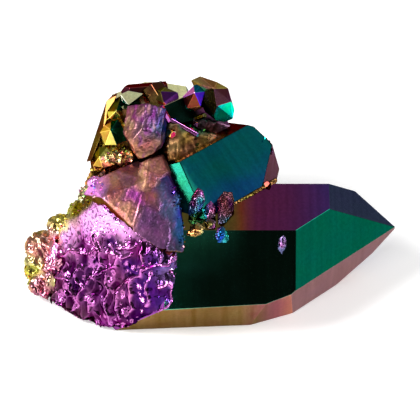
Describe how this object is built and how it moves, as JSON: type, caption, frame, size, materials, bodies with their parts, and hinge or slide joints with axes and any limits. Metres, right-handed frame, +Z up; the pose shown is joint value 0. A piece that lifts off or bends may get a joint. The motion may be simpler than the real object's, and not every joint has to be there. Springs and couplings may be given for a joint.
{
  "type": "aura quartz crystal",
  "caption": "Iridescent metal-coated quartz cluster: a large six-sided point lying on a prism face, a shorter point across it, and small points on a rough broken base.",
  "frame": {"origin": "on the table, under the middle of the flat prism face that the cluster rests on", "axes": "+X along the large point's axis towards its tip, +Z up from the table, -Y out of the front prism face"},
  "size_m": [0.0745, 0.0479, 0.0424],
  "materials": {
    "aura_coating": "opaque vacuum-deposited titanium film on quartz: mirror-like on the crystal faces, glittering on the break, with interference colours from gold through magenta, violet and blue to teal and green"
  },
  "bodies": {
    "root": {"quartz_cluster": "aura_coating"}
  },
  "joints": []
}
